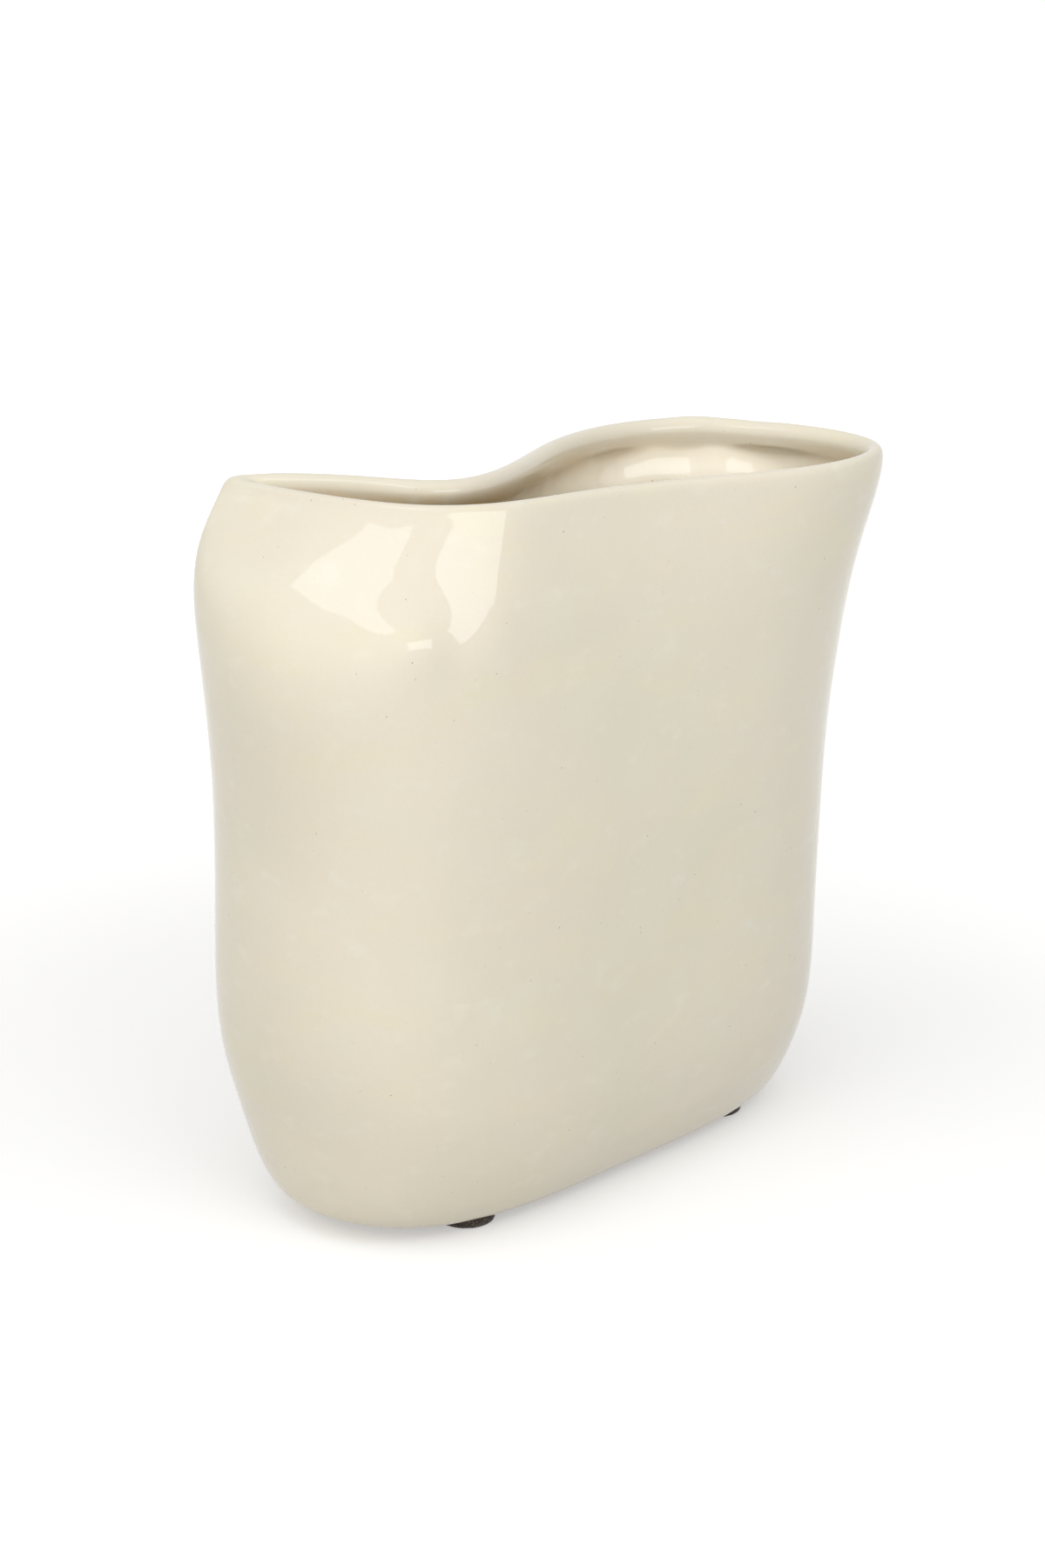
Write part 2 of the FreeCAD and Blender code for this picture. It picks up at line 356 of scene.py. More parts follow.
# The ridge where the front wall turns under, and the crease inside beside the bulb. Both come
# and go along their length: their mean share, and the noise about it.
RIDGE = ((-20, -51, 23), (58, -50, 26), 5, 0.5)
CREASE = ((27, 13, 220), (13, 8, 204), 2.6, -0.7)
BREAK_MEAN, BREAK_DEPTH, BREAK_SIZE, BREAK_SEED = 0.65, 0.6, 11, 5.3

# The layers of waviness, each with its height, its size and its seed, and the calm spots in
# them where the lights show, each with its middle, its radius and its share of calm.
WAVES = [(0.40, 52, 3.1), (0.13, 23, 8.7)]
CALM_SPOTS = [((-78, -24, 210), 40, 0.9), ((86, 12, 208), 30, 0.8)]
WAVES_ON_LIP = 0.25
CALM_FOOT_HEIGHT = 20

# Glaze fills the groove under the bead a little: which ring that is, how wide, how deep.
GROOVE_RING, GROOVE_REACH, GROOVE_FILL = 13.8, 0.8, 1.0

# The slit's end turns too tightly to be lifted: its groove would fold over itself.
SLIT_END, SLIT_END_RADIUS = (-78, 41, 221), 9
dent_count = len(OUTSIDE_DENTS + INSIDE_DENTS + LIP_DENTS)
fold_count = len(OUTSIDE_FOLDS + INSIDE_FOLDS)
print("dents:", dent_count, "folds:", fold_count, "layers of waviness:", len(WAVES))

# %% [markdown]
# ## Lift the skin
# All of them add up to one number for each point, the lift. The point then moves that far along
# its normal, outwards where the lift is above zero.

# %% Hand-made unevenness
# Ring places between which the outside ends and the inside starts.
OUTSIDE_ENDS = (8.8, 9.9)
INSIDE_STARTS = (13.2, 14.4)
outside = 1 - fade(ring_places, *OUTSIDE_ENDS)[:, None]
inside = fade(ring_places, *INSIDE_STARTS)[:, None]
on_lip = (1 - outside) * (1 - inside)

lift = GROOVE_FILL * ring_bell(GROOVE_RING, GROOVE_REACH) * np.ones(skin.shape[:2])
for side, dents in ((outside, OUTSIDE_DENTS), (inside, INSIDE_DENTS), (on_lip, LIP_DENTS)):
    for centre, radius, rise in dents:
        lift += side * rise * bell(skin, centre, radius)
for side, folds in ((outside, OUTSIDE_FOLDS), (inside, INSIDE_FOLDS)):
    for start, end, radius, rise in folds:
        lift += side * rise * bell_along(skin, start, end, radius)
broken = BREAK_MEAN + BREAK_DEPTH * smooth_noise(skin, BREAK_SIZE, BREAK_SEED)
for side, (start, end, radius, rise) in ((outside, RIDGE), (inside, CREASE)):
    lift += side * rise * broken * bell_along(skin, start, end, radius)

above_foot = fade(skin[..., 2], FOOT_HEIGHT, FOOT_HEIGHT + CALM_FOOT_HEIGHT)
off_the_lip = WAVES_ON_LIP + (1 - WAVES_ON_LIP) * (outside + inside)
calm = 1
for centre, radius, share in CALM_SPOTS:
    calm = calm - share * bell(skin, centre, radius)
waviness = sum(height * smooth_noise(skin, size, seed) for height, size, seed in WAVES)
lift += above_foot * off_the_lip * calm * waviness
lift *= 1 - bell(skin, SLIT_END, SLIT_END_RADIUS)

# The crease gets painted shade and pooled glaze too, so its place is kept before the skin moves.
creased = inside * bell_along(skin, *CREASE[:3])
skin = skin + skin_normals(skin) * lift[..., None]
print("unevenness: from", lift.min().round(2), "to", lift.max().round(2), "mm")

# %% [markdown]
# ## Meshes from rings
# A tube of quads joins one ring to the next, and a fan of triangles closes a ring at its
# middle. The vase and the felt pads are both made of these two.

# %% Tubes and fans
def new_piece(name, points, faces):
    """A smooth mesh object with its place in its points, which are in millimetres."""
    mesh = bpy.data.meshes.new(name)
    mesh.from_pydata((np.asarray(points) * MM).tolist(), [], faces)
    mesh.polygons.foreach_set("use_smooth", [True] * len(mesh.polygons))
    mesh.validate()
    piece = bpy.data.objects.new(name, mesh)
    bpy.context.scene.collection.objects.link(piece)
    return piece


def tube_faces(rings, around):
    """Quads between rings of points, wound so that they face away from the tube."""
    faces = []
    for ring in range(rings - 1):
        for step in range(around):
            here, beside = ring * around + step, ring * around + (step + 1) % around
            faces.append((here, beside, beside + around, here + around))
    return faces


def fan_faces(ring_start, around, tip, facing_down):
    """Triangles from one ring to a point in its middle."""
    faces = []
    for step in range(around):
        here, beside = ring_start + step, ring_start + (step + 1) % around
        faces.append((beside, here, tip) if facing_down else (here, beside, tip))
    return faces


print("a tube of two rings of three points:", tube_faces(2, 3))

# %% [markdown]
# ## The vase as one closed mesh
# The skin is one tube. It is closed below by the foot and inside by the floor, each a few
# shrinking rings and a fan, so that the mesh has no hole and no stray face.

# %% Build the vase
CAP_SHARES = (0.3, 0.6, 0.85)


def cap_rings(ring):
    """Rings from the middle of a flat outline out towards it."""
    centre = ring.mean(axis=0)
    return [centre + (ring - centre) * share for share in CAP_SHARES]


rows = cap_rings(skin[0]) + list(skin) + cap_rings(skin[-1])[::-1]
around = skin.shape[1]
points = np.concatenate(rows + [[skin[0].mean(axis=0)], [skin[-1].mean(axis=0)]])
foot_tip, floor_tip = len(points) - 2, len(points) - 1
faces = tube_faces(len(rows), around)
faces += fan_faces(0, around, foot_tip, facing_down=True)
faces += fan_faces((len(rows) - 1) * around, around, floor_tip, facing_down=False)
vase = new_piece("vase_shell", points, faces)
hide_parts("vase_body")
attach(vase, BODY)
print("vase:", len(vase.data.vertices), "points,", len(vase.data.polygons), "faces")

# %% [markdown]
# ## What the mesh remembers
# The glaze has to know its place on the vase. A painted mask would do, but the rings already
# know it, so the mesh keeps three numbers for each point. They say where the glaze is painted
# darker and more golden, as painted shade with some pooled glaze, in the groove under the bead,
# in the crease and just above the foot; where the inside is painted lighter, as painted light;
# and where the foot was wiped clean before the firing.

# %% Numbers for the glaze
def remember(piece, name, values):
    """Keeps one number for each point of the mesh, for its material to read."""
    layer = piece.data.attributes.new(name, "FLOAT", "POINT")
    layer.data.foreach_set("value", np.asarray(values, dtype=np.float32))


def for_every_point(on_skin, under_foot, on_floor):
    """One number for each point of the closed mesh: the skin's, and one for each cap."""
    caps = len(CAP_SHARES) * around
    skin_values = np.broadcast_to(on_skin, skin.shape[:2]).ravel()
    tips = [under_foot, on_floor]
    return np.concatenate([np.full(caps, under_foot), skin_values, np.full(caps, on_floor), tips])


# The painted shade and pooled glaze lie this share of a ring above the groove's own, and reach over this
# many rings.
SHADE_AND_POOL_OFFSET, SHADE_AND_POOL_REACH = 0.2, 1.2
# Round the open corner the groove is shallow, and it gets less painted shade and pooled glaze.
OPEN_CORNER, OPEN_CORNER_RADIUS, OPEN_CORNER_LOSS = (98, 2, 216), 60, 0.85
FOOT_LINE_RING, FOOT_LINE_REACH = 0.42, 0.15
WIPED_UP_TO = 0.3
# How strong the painted shade and pooled glaze are in the crease and the foot line, where the groove is 1.
CREASE_SHADE_AND_POOL, FOOT_LINE_SHADE_AND_POOL = 0.7, 0.8

# Painted shade with some pooled glaze: the groove under the bead, the crease and the foot line are painted
# darker and more golden.
under_bead = ring_bell(GROOVE_RING - SHADE_AND_POOL_OFFSET, SHADE_AND_POOL_REACH)
under_bead = under_bead * (1 - OPEN_CORNER_LOSS * bell(skin, OPEN_CORNER, OPEN_CORNER_RADIUS))
foot_line = ring_bell(FOOT_LINE_RING, FOOT_LINE_REACH)
shaded_and_pooled = np.maximum(np.maximum(under_bead, CREASE_SHADE_AND_POOL * creased), FOOT_LINE_SHADE_AND_POOL * foot_line)
wiped = 1 - fade(ring_places, WIPED_UP_TO / 2, WIPED_UP_TO)[:, None]
remember(vase, "shade_and_glaze_pool", for_every_point(shaded_and_pooled, 0, 0))
# Painted light: the inside is painted a lighter cream to make up for the light it lacks.
remember(vase, "painted_light_inside", for_every_point(inside, 0, 1))
remember(vase, "wiped_foot", for_every_point(wiped, 1, 0))
print("pooled glaze, as a mean over the skin's points:", shaded_and_pooled.mean().round(3))

# %% [markdown]
# ## Felt pads
# Four dark stick-on pads keep the vase off the table. A cylinder would do from afar, but felt is
# pressed wool: its rim is a little ragged, its edge is soft, and single fibres stand out of it.
#
# The pad is a turned profile with a noisy rim.

# %% The body of a pad
PAD_RADIUS = 9
PAD_THICKNESS = 3
PAD_STEPS = 96
# The pad's section from the middle of the underside outwards and up: radius and height shares.
PAD_SECTION = [
    (0.25, 0.0), (0.50, 0.0), (0.72, 0.0), (0.84, 0.0), (0.91, 0.012), (0.955, 0.055), (0.985, 0.14),
    (0.998, 0.26), (1.0, 0.42), (0.998, 0.60), (0.992, 0.78), (0.985, 0.90), (0.97, 0.97),
    (0.94, 1.0), (0.85, 1.0), (0.60, 1.0), (0.30, 1.0),
]
# The rows of the section that make the rim, which is dented up and down.
RIM_ROWS = slice(4, 12)
# Layers of noise at the rim, each with its size, its depth and what it adds to the seed.
RAGGED_LAYERS = [(1.1, 0.10, 0), (0.45, 0.05, 5)]
DENTED_LAYERS = [(1.6, 0.05, 9)]


def rim_noise(body, layers, seed):
    """The layers of noise for one pad, added up."""
    return sum(depth * smooth_noise(body, size, seed + own) for size, depth, own in layers)


def pad_body(seed):
    """Points and faces of one pad about its own middle, without fibres."""
    turns = np.linspace(0, math.tau, PAD_STEPS, endpoint=False)
    rows = []
    for radius_share, height_share in PAD_SECTION:
        radius = PAD_RADIUS * radius_share
        height = np.full(PAD_STEPS, PAD_THICKNESS * height_share)
        rows.append(np.stack([radius * np.cos(turns), radius * np.sin(turns), height], axis=1))
    body = np.array(rows)
    outwards = body * (1, 1, 0) / PAD_RADIUS
    body = body + outwards * rim_noise(body, RAGGED_LAYERS, seed)[..., None]
    dented = rim_noise(body, DENTED_LAYERS, seed)
    body[RIM_ROWS, :, 2] += dented[RIM_ROWS]
    points = np.concatenate([body.reshape(-1, 3), [[0, 0, 0], [0, 0, PAD_THICKNESS]]])
    faces = tube_faces(len(body), PAD_STEPS)
    faces += fan_faces(0, PAD_STEPS, len(points) - 2, facing_down=True)
    faces += fan_faces((len(body) - 1) * PAD_STEPS, PAD_STEPS, len(points) - 1, facing_down=False)
    return list(points), faces


print("a pad without fibres:", len(PAD_SECTION), "rows of", PAD_STEPS, "points")

# %% [markdown]
# ## Single fibres
# A few hundred fine bent fibres are rooted in the rim of each pad. Hair particles would be
# quicker to set up, but they are no mesh. So each fibre is a thin tube of three sides that
# tapers along a curve.

# %% Fibres
FIBRES = 420
FIBRE_SIDES = 3
FIBRE_KNOTS = 4
FIBRE_RADIUS = 0.028
FIBRE_TAPER = 0.7
# Fibres are rooted a little inside the rim, and further in at the soft lower edge.
ROOT_SHARE, LOW_ROOT_SHARE, LOW_EDGE = 0.985, 0.925, 0.15
# Between which shares of the pad's height they are rooted, and their lengths in millimetres.
ROOT_LEVELS = (0.06, 0.95)
FIBRE_LENGTHS = (0.25, 0.8)
# How strongly they point outwards, lean to any side and bend.
OUTWARD_PULL, LEAN, BEND = 0.5, 0.8, 0.45


def fibre(root, way, length, random):
    """A thin bent taper: rings of three points along a curve."""
    bend = random.normal(0, BEND, 3)
    spots = []
    for knot in range(FIBRE_KNOTS):
        share = knot / (FIBRE_KNOTS - 1)
        spot = root + (way * share + bend * share ** 2) * length
        spot[2] = max(spot[2], FIBRE_RADIUS)
        spots.append(spot)
    side = np.cross(way, random.normal(0, 1, 3))
    side /= np.linalg.norm(side)
    other = np.cross(way, side)
    rings = []
    for knot, spot in enumerate(spots):
        radius = FIBRE_RADIUS * (1 - FIBRE_TAPER * knot / (FIBRE_KNOTS - 1))
        for corner in range(FIBRE_SIDES):
            turn = math.tau * corner / FIBRE_SIDES
            rings.append(spot + radius * (side * math.cos(turn) + other * math.sin(turn)))
    return rings


def add_fibre(points, faces, random):
    """One fibre at a random place of the rim, closed at both ends."""
    turn = random.uniform(0, math.tau)
    level = random.uniform(*ROOT_LEVELS)
    out = np.array([math.cos(turn), math.sin(turn), 0])
    root_share = LOW_ROOT_SHARE if level < LOW_EDGE else ROOT_SHARE
    root = out * PAD_RADIUS * root_share + (0, 0, PAD_THICKNESS * level)
    lean = random.normal(0, LEAN, 3)
    way = out * OUTWARD_PULL + lean - out * min(0, lean @ out)
    way /= np.linalg.norm(way)
    first = len(points)
    last = first + (FIBRE_KNOTS - 1) * FIBRE_SIDES
    points += fibre(root, way, random.uniform(*FIBRE_LENGTHS), random)
    for face in tube_faces(FIBRE_KNOTS, FIBRE_SIDES):
        faces.append(tuple(first + corner for corner in face))
    faces.append((first + 2, first + 1, first))
    faces.append((last, last + 1, last + 2))


print("fibres for each pad:", FIBRES, "with", FIBRE_KNOTS * FIBRE_SIDES, "points each")

# %% [markdown]
# ## Four pads in their places
# Each pad takes its place from the measured one and has its own seed, so that no two are alike.

# %% Build the felt pads
def felt_pad(name, node, seed):
    """One felt pad with its fibres, in the place of a measured one."""
    random = np.random.default_rng(seed)
    points, faces = pad_body(seed)
    for _ in range(FIBRES):
        add_fibre(points, faces, random)
    points = np.array(points)
    low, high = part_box(node)
    centre = (np.array(low) + np.array(high)) / 2 / MM
    points[:, :2] += centre[:2]
    pad = new_piece(name, points, faces)
    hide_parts(node)
    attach(pad, BODY)
    return pad


CORNERS = ("front_left", "front_right", "back_left", "back_right")
FIRST_SEED = 11
pads = [felt_pad("felt_" + corner, "felt_pad_" + corner, seed)
        for seed, corner in enumerate(CORNERS, start=FIRST_SEED)]
print("felt pads:", len(pads), "with", len(pads[0].data.polygons), "faces each")

# %% [markdown]
# ## Finishes as sums
# A material is a net of nodes. Written out link by link, it hides the idea. One small class
# wraps a node's output, so that `1 - mask` or `mask * 0.5` in Python adds the Math node that
# works it out.

# %% A socket that can be added and multiplied
class Wire:
    """One output of a node, usable in Python sums."""

    def __init__(self, recipe, socket):
        self.recipe = recipe
        self.socket = socket

    def worked_out(self, operation, *values):
        """The result of a Math node."""
        inputs = dict(enumerate(values))
        return self.recipe.node("ShaderNodeMath", {"operation": operation}, inputs)

    def __add__(self, other):
        return self.worked_out("ADD", self, other)

    def __radd__(self, other):
        return self.worked_out("ADD", other, self)

    def __sub__(self, other):
        return self.worked_out("SUBTRACT", self, other)

    def __rsub__(self, other):
        return self.worked_out("SUBTRACT", other, self)

    def __mul__(self, other):
        return self.worked_out("MULTIPLY", self, other)

    def __rmul__(self, other):
        return self.worked_out("MULTIPLY", other, self)

    def at_least(self, lowest):
        """The larger of the two."""
        return self.worked_out("MAXIMUM", self, lowest)

    def from_to(self, start, end):
        """0 up to the start, 1 from the end, and smooth in between."""
        settings = {"interpolation_type": "SMOOTHSTEP"}
        inputs = {"Value": self, "From Min": start, "From Max": end}
        return self.recipe.node("ShaderNodeMapRange", settings, inputs)

    def beside(self, output):
        """Another output of the same node."""
        return Wire(self.recipe, self.socket.node.outputs[output])


print("methods of a wire:", ", ".join(name for name in vars(Wire) if not name.startswith("_")))

# %% [markdown]
# ## The tree that the wires belong to
# A second class holds the node tree. Colours go through Mix nodes there, because a Math node
# would turn them grey. Every other node comes from one method, which takes its type, its
# settings and its inputs.

# %% A recipe for a finish
class Recipe:
    """The node tree of a finish."""

    def __init__(self, tree):
        self.tree = tree
        tree.nodes.clear()

    def node(self, kind, settings=None, inputs=None, output=0):
        """Adds one node: its settings first, then its inputs. Returns the wire that it gives."""
        made = self.tree.nodes.new(kind)
        for name, value in (settings or {}).items():
            setattr(made, name, value)
        for name, value in (inputs or {}).items():
            if isinstance(value, Wire):
                self.tree.links.new(value.socket, made.inputs[name])
            else:
                made.inputs[name].default_value = value
        return Wire(self, made.outputs[output] if len(made.outputs) else None)

    def mixed(self, first, second, share):
        """Two colours mixed by a share."""
        return self.node("ShaderNodeMix", {"data_type": "RGBA"}, {0: share, 6: first, 7: second}, output=2)

    def place(self, stretch=(1, 1, 1)):
        """The place on the piece in metres, stretched for the pattern that reads it."""
        spot = self.node("ShaderNodeTexCoord", output="Object")
        return self.node("ShaderNodeVectorMath", {"operation": "MULTIPLY"}, {0: spot, 1: stretch})

    def cloud(self, size, detail=2.0, roughness=0.5, stretch=(1, 1, 1)):
        """Soft noise from 0 to 1 that changes over about that many millimetres."""
        inputs = {"Vector": self.place(stretch), "Scale": 1 / (size * MM), "Detail": detail,
                  "Roughness": roughness}
        return self.node("ShaderNodeTexNoise", None, inputs)

    def remembered(self, name):
        """The number that the mesh keeps for each of its points."""
        return self.node("ShaderNodeAttribute", {"attribute_name": name}, output="Fac")

    def bump(self, height, depth, strength=1.0):
        """A surface normal from a height in shares of that many millimetres."""
        inputs = {"Height": height, "Distance": depth * MM, "Strength": strength}
        return self.node("ShaderNodeBump", None, inputs)

    def surface(self, **inputs):
        """The shader itself, joined to the material's output."""
        named = {name.replace("_", " "): value for name, value in inputs.items()}
        shader = self.node("ShaderNodeBsdfPrincipled", None, named)
        self.node("ShaderNodeOutputMaterial", None, {"Surface": shader})


print("methods of a recipe:", ", ".join(name for name in vars(Recipe) if not name.startswith("_")))

# %% [markdown]
# ## Colours as a screen shows them
# Colours are easiest to choose on a screen, in numbers from 0 to 255. Shaders add up light, and
# for that they need the same colours in linear numbers.

# %% New finishes and colours
def new_finish(name):
    """An empty material, and the recipe to fill it."""
    material = bpy.data.materials.new(name)
    material.use_nodes = True
    return material, Recipe(material.node_tree)


def colour(red, green, blue):
    """A colour read off a screen, from 0 to 255, as the linear light that shaders use."""
    shares = (channel / 255 for channel in (red, green, blue))
    linear = [s / 12.92 if s <= 0.04045 else ((s + 0.055) / 1.055) ** 2.4 for s in shares]
    return (*linear, 1.0)


CREAM = colour(228, 220, 200)
print("cream as linear light:", [round(channel, 3) for channel in CREAM[:3]])

# %% [markdown]
# ## The cream glaze
# The glaze is a glossy cream coat over pale clay. Close up it is not one colour: it drifts
# between a cooler and a warmer cream, and fine brown specks of iron show through it. It is also
# painted darker and more golden in the groove under the bead, the crease and the foot line, as
# painted shade with some pooled glaze, and painted lighter inside, as painted light. The wiped
# foot shows bare clay.
#
# An image could be painted on, but noise in the vase's own space has no seams and works at any
# size. Each layer mixes one more colour over those before it.

# %% The glaze's tones
COOL_CREAM = colour(225, 217, 196)
WARM_CREAM = colour(229, 219, 199)
YELLOW_WASH = colour(229, 220, 191)
THIN_GLAZE = colour(235, 229, 214)
GRAIN = colour(216, 208, 188)
# Painted light: a lighter cream for the inside, which gets less light than the outside.
PAINTED_LIGHT_CREAM = colour(249, 240, 220)
# Painted shade with some pooled glaze: a darker gold for the groove, the crease and the foot line.
SHADE_AND_POOL_GOLD = colour(214, 184, 134)

glaze, recipe = new_finish("cream_glaze")
drift = recipe.cloud(62, detail=2.5).from_to(0.35, 0.65)
tone = recipe.mixed(COOL_CREAM, WARM_CREAM, drift)
patches = recipe.cloud(24, detail=3.0).from_to(0.42, 0.70)
tone = recipe.mixed(tone, CREAM, patches * 0.7)
wash = recipe.cloud(34, detail=3.0, stretch=(1, 1, 2.6)).from_to(0.48, 0.72)
tone = recipe.mixed(tone, YELLOW_WASH, wash * 0.6)
thin_spots = recipe.cloud(11, detail=2.0, stretch=(1, 1, 1.6)).from_to(0.55, 0.80)
tone = recipe.mixed(tone, THIN_GLAZE, thin_spots * 0.35)
grain = recipe.cloud(1.3, detail=2.0).from_to(0.35, 0.75)
tone = recipe.mixed(tone, GRAIN, grain * 0.10)

# Painted light: the inside is painted a lighter cream to make up for the light it lacks.
painted_light_inside = recipe.remembered("painted_light_inside")
tone = recipe.mixed(tone, PAINTED_LIGHT_CREAM, painted_light_inside)
# Painted shade with some pooled glaze: the groove, the crease and the foot line are painted darker and
# more golden.
shade_and_pool = recipe.remembered("shade_and_glaze_pool") * recipe.cloud(9, detail=2.0).from_to(0.0, 0.55)
tone = recipe.mixed(tone, SHADE_AND_POOL_GOLD, shade_and_pool * 0.85)
print("nodes for the glaze's tones:", len(glaze.node_tree.nodes))

# %% [markdown]
# ## Specks, bare foot and gloss
# The specks are the hearts of scattered cells, each with its own random size, and a slow cloud
# keeps them to some places. A speck and the wiped foot are also rougher than the glaze, and the
# glaze itself has the faint orange-peel skin of a fired coat.

# %% Finish the glaze
CELL = 3.6
SPECK = colour(120, 100, 78)
BARE_CLAY = colour(214, 200, 178)

cells = {"Vector": recipe.place(), "Scale": 1 / (CELL * MM), "Randomness": 1.0}
cell_nearness = recipe.node("ShaderNodeTexVoronoi", None, cells)
cell_chance = recipe.node("ShaderNodeSeparateColor", None, {"Color": cell_nearness.beside("Color")})
speck_reach = 0.02 + cell_chance * 0.07
speck = 1 - cell_nearness.from_to(speck_reach * 0.5, speck_reach)
speck = speck * recipe.cloud(14).from_to(0.40, 0.62)
tone = recipe.mixed(tone, SPECK, speck * 0.6)

wiped_mask = recipe.remembered("wiped_foot")
wiped_mask = (wiped_mask + recipe.cloud(5) * 0.3 - 0.15).from_to(0.35, 0.6)
tone = recipe.mixed(tone, BARE_CLAY, wiped_mask)

gloss = 0.035 + recipe.cloud(30).from_to(0.3, 0.8) * 0.03 + speck * 0.15
gloss = gloss + wiped_mask * 0.5
skin_of_glaze = recipe.cloud(2.6, detail=1.0) * 0.6 + recipe.cloud(0.7, detail=1.0) * wiped_mask
relief = recipe.bump(skin_of_glaze - speck * 0.4, depth=0.05, strength=0.35)
recipe.surface(Base_Color=tone, Roughness=gloss, Normal=relief, IOR=1.52)
vase.data.materials.append(glaze)
print("nodes of the whole glaze:", len(glaze.node_tree.nodes))

# %% [markdown]
# ## Felt
# The felt is nearly black brown wool with a few lighter hairs pressed in. Noise stretched one
# way and then the other gives the lay of the hairs, and a little sheen gives the soft rim of
# light that wool has.

# %% Felt material
DARK_WOOL = colour(38, 32, 29)
LIGHT_WOOL = colour(58, 49, 43)
PALE_HAIR = colour(142, 124, 108)
GREY_HAIR = colour(120, 108, 98)

felt, recipe = new_finish("pressed_felt")
hairs_across = recipe.cloud(0.9, detail=4.0, stretch=(1, 4, 2)).from_to(0.50, 0.62)
hairs_along = recipe.cloud(0.8, detail=4.0, stretch=(4, 1, 2)).from_to(0.52, 0.64)
tufts = recipe.cloud(0.5, detail=3.0)
wool = recipe.mixed(DARK_WOOL, LIGHT_WOOL, tufts)
wool = recipe.mixed(wool, PALE_HAIR, hairs_across * 0.6)
wool = recipe.mixed(wool, GREY_HAIR, hairs_along * 0.5)
fuzz = recipe.bump(tufts + hairs_across * 0.5 + hairs_along * 0.5, depth=0.25, strength=0.8)
recipe.surface(Base_Color=wool, Roughness=0.85 + tufts * 0.12, Normal=fuzz, Sheen_Weight=0.25,
               Sheen_Roughness=0.5)
for pad in pads:
    pad.data.materials.append(felt)
print("pads in felt:", len(pads))

# %% [markdown]
# ## Glue
# The stick-on film over each pad is a milky plastic. It is a measured piece whose shape is
# right, so it stays and only gets its finish.

# %% Film material
CLEAR_MILK = colour(222, 218, 208)
DULL_MILK = colour(203, 197, 184)

film, recipe = new_finish("milky_film")
cloudiness = recipe.cloud(3.0, detail=2.0)
milk = recipe.mixed(CLEAR_MILK, DULL_MILK, cloudiness)
film_skin = recipe.bump(recipe.cloud(0.6), depth=0.03, strength=0.5)
recipe.surface(Base_Color=milk, Roughness=0.35 + cloudiness * 0.2, Normal=film_skin)
for corner in CORNERS:
    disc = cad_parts["adhesive_disc_" + corner]
    disc.data.materials.clear()
    disc.data.materials.append(film)
print("finishes:", glaze.name, felt.name, film.name)

# %% [markdown]
# ## The studio floor
# The photograph has a plain white ground and two soft square lights, which show as two bright
# panes on the front and two more inside the mouth. The floor is a pale sheet. The camera sees
# it as white, and so do reflections, but light still falls on it as on any pale floor and the
# vase's shadow stays.

# %% Floor
FLOOR_REACH = 6.0
SHEET_COLOUR = (0.66, 0.655, 0.645, 1)
# How much the sheet glows near the vase, what is added far off, and between which distances.
NEAR_GLOW, FAR_GLOW = 0.40, 0.22
GLOW_FROM, GLOW_TO = 0.18, 0.60


def seen_or_mirrored(recipe):
    """1 where the camera looks, straight or by a reflection, and 0 for the light that falls."""
    straight = recipe.node("ShaderNodeLightPath", output="Is Camera Ray")
    mirrored = straight.beside("Is Glossy Ray")
    return straight.at_least(mirrored).at_least(straight.beside("Is Transmission Ray"))


floor_corners = [(-1, -1, 0), (1, -1, 0), (1, 1, 0), (-1, 1, 0)]
floor_points = np.array(floor_corners) * FLOOR_REACH / MM
floor = new_piece("studio_floor", floor_points, [(0, 1, 2, 3)])
floor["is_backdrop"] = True
paper, recipe = new_finish("studio_paper")
away = recipe.node("ShaderNodeVectorMath", {"operation": "LENGTH"}, {0: recipe.place()}, output="Value")
glow = seen_or_mirrored(recipe) * (NEAR_GLOW + away.from_to(GLOW_FROM, GLOW_TO) * FAR_GLOW)
sheet = recipe.node("ShaderNodeBsdfDiffuse", None, {"Color": SHEET_COLOUR})
light_of_it = recipe.node("ShaderNodeEmission", None, {"Strength": glow})
ground = recipe.node("ShaderNodeAddShader", None, {0: sheet, 1: light_of_it})
recipe.node("ShaderNodeOutputMaterial", None, {"Surface": ground})
floor.data.materials.append(paper)
print("floor:", 2 * FLOOR_REACH, "m wide, with", len(paper.node_tree.nodes), "nodes")

# %% [markdown]
# ## The air around
# What the camera sees behind the vase is plain white. The soft light that falls from all round
# is stronger from the upper left, as in the photograph, and weaker behind the vase, which
# gives the curved walls their shading.

# %% Surroundings
def direction(azimuth, elevation):
    """The way to something at that bearing, with 0 in front of the vase and 90 to its right."""
    turn, rise = math.radians(azimuth), math.radians(elevation)
    level = math.cos(rise)
    return Vector((math.sin(turn) * level, -math.cos(turn) * level, math.sin(rise)))


WHITE = (1.0, 1.0, 1.0, 1.0)
BRIGHT_WAY = direction(-62, 44)
DIM_FILL, BRIGHT_FILL = 0.28, 1.80

world = bpy.data.worlds.new("studio_air")
bpy.context.scene.world = world
world.use_nodes = True
recipe = Recipe(world.node_tree)
bearing = recipe.node("ShaderNodeTexCoord", output="Generated")
towards_lights = recipe.node("ShaderNodeVectorMath", {"operation": "DOT_PRODUCT"},
                             {0: bearing, 1: BRIGHT_WAY}, output="Value")
lobe = towards_lights.at_least(0)
fill = DIM_FILL + lobe * lobe * (BRIGHT_FILL - DIM_FILL)
strength = fill + seen_or_mirrored(recipe) * (1 - fill)
air = recipe.node("ShaderNodeBackground", None, {"Color": WHITE, "Strength": strength})
recipe.node("ShaderNodeOutputWorld", None, {"Surface": air})
print("soft light from", DIM_FILL, "behind to", BRIGHT_FILL, "at the upper left")

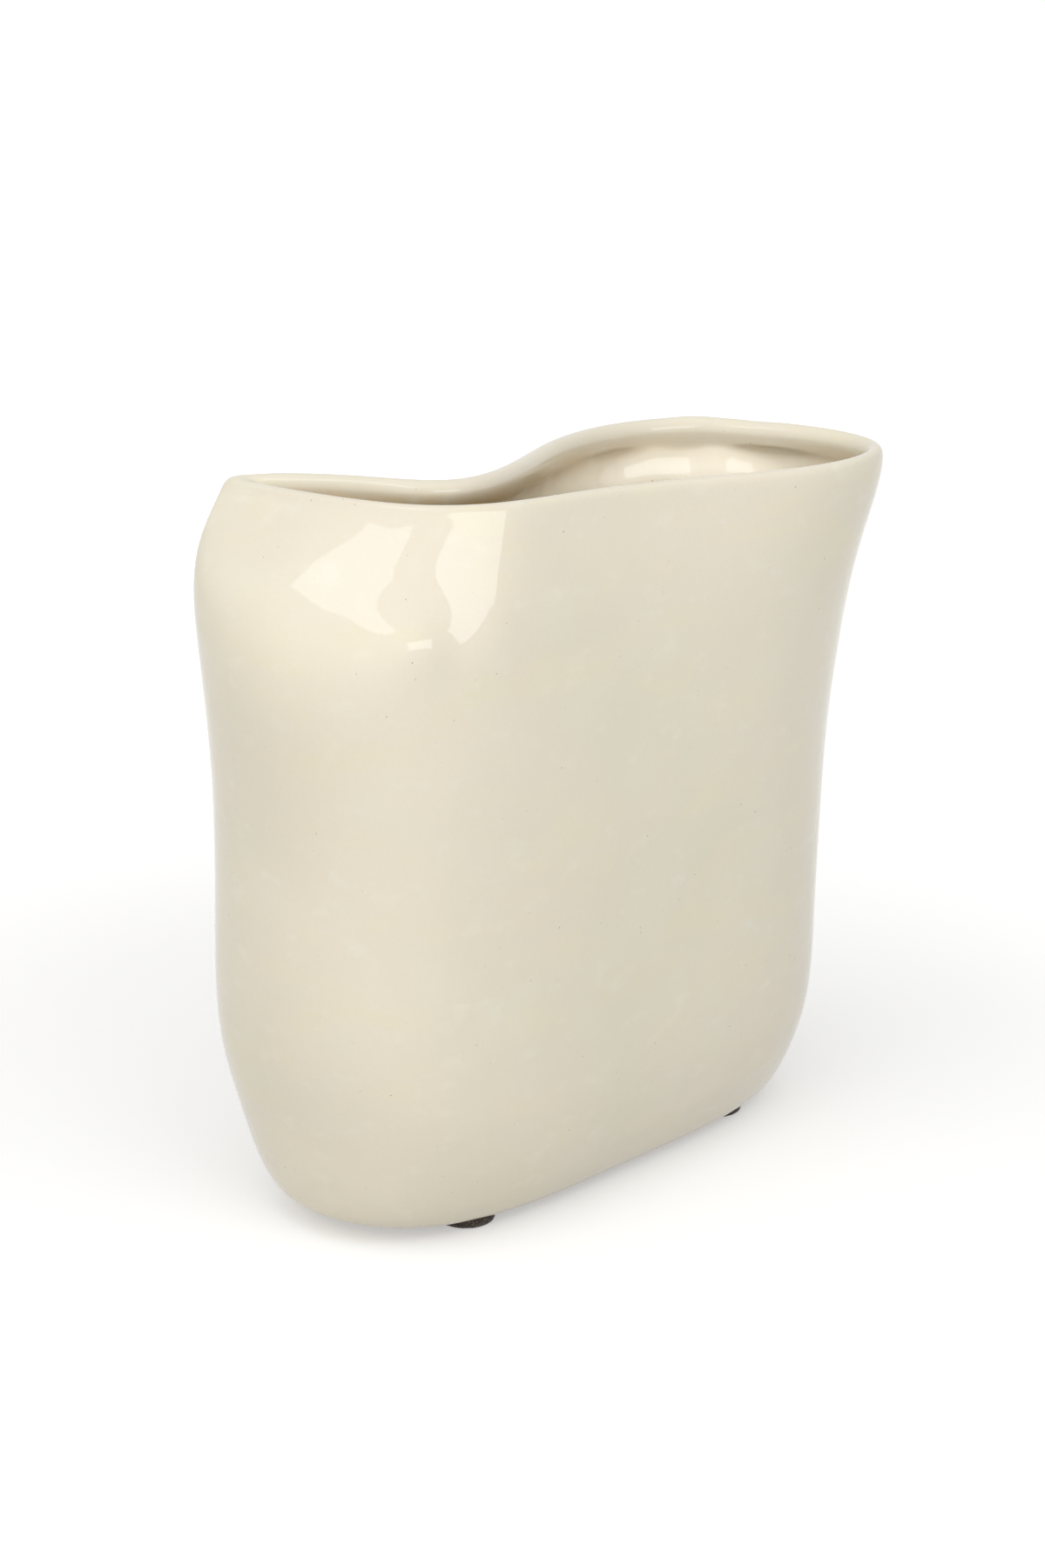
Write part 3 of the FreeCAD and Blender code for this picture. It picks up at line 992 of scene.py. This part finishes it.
# %% [markdown]
# ## Lights
# Each softbox is an area lamp. Where a reflection shows on the front follows from the mirror
# rule: the light comes in at the angle at which the camera looks on. A search by that rule gave
# the bearings, sizes and tilts for the two panes. They are rounded here, and the right lamp's
# bearing and width were changed afterwards.

# %% Two softboxes
LAMP_COLOUR = (0.87, 0.93, 1.0)
LAMP_DISTANCE = 1.3
LAMP_TILT = -10
LIGHT_TARGET = Vector((0, 0, 150 * MM))


def softbox(name, azimuth, elevation, width, height, brightness):
    """A rectangular lamp at that bearing, which looks at the vase."""
    lamp = bpy.data.lights.new(name, "AREA")
    lamp.shape = "RECTANGLE"
    lamp.size, lamp.size_y = width, height
    lamp.energy = brightness * math.pi * width * height
    lamp.color = LAMP_COLOUR
    holder = bpy.data.objects.new(name, lamp)
    bpy.context.scene.collection.objects.link(holder)
    way = direction(azimuth, elevation)
    holder.location = LIGHT_TARGET + way * LAMP_DISTANCE
    holder.rotation_mode = "QUATERNION"
    tilted = Quaternion((0, 0, 1), math.radians(LAMP_TILT))
    holder.rotation_quaternion = way.to_track_quat("Z", "Y") @ tilted
    print(name, "gives", round(lamp.energy, 2), "watts")


softbox("left_softbox", azimuth=-93, elevation=66, width=0.62, height=0.24, brightness=1.85)
softbox("right_softbox", azimuth=-9, elevation=40, width=1.0, height=0.36, brightness=2.4)

# %% [markdown]
# ## The camera
# The lens is long and looks down a little, which shows the slit, the bulb and the groove under
# the lip at once. Its distance was chosen. Its direction, lens and aim were fitted to the outline
# in the photograph, together with the vase's shape.

# %% Camera
SIGHT = Vector((-0.27, 3.35, 123.19)) * MM
CAMERA_WAY = direction(-46.67, 18.67)
CAMERA_DISTANCE = 1.25
LENS = 91.21

camera = bpy.data.cameras.new("studio_camera")
camera.lens = LENS
camera_holder = bpy.data.objects.new("studio_camera", camera)
bpy.context.scene.collection.objects.link(camera_holder)
camera_holder.location = SIGHT + CAMERA_WAY * CAMERA_DISTANCE
camera_holder.rotation_mode = "QUATERNION"
camera_holder.rotation_quaternion = CAMERA_WAY.to_track_quat("Z", "Y")
bpy.context.scene.camera = camera_holder
bpy.context.scene.view_settings.view_transform = "Standard"
print("camera at", [round(place, 3) for place in camera_holder.location], "m with a lens of", LENS, "mm")

# %% [markdown]
# ## Measure and finish
# Dressing a model must not change its size, so both boxes are kept: the measured model's and
# the dressed one's.

# %% Keep both sizes
dressed_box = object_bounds()
for name, box in (("measured", measured_box), ("dressed", dressed_box)):
    spans = [round(float(end - start) / MM, 1) for start, end in zip(*box)]
    print(name, "size in mm:", spans)
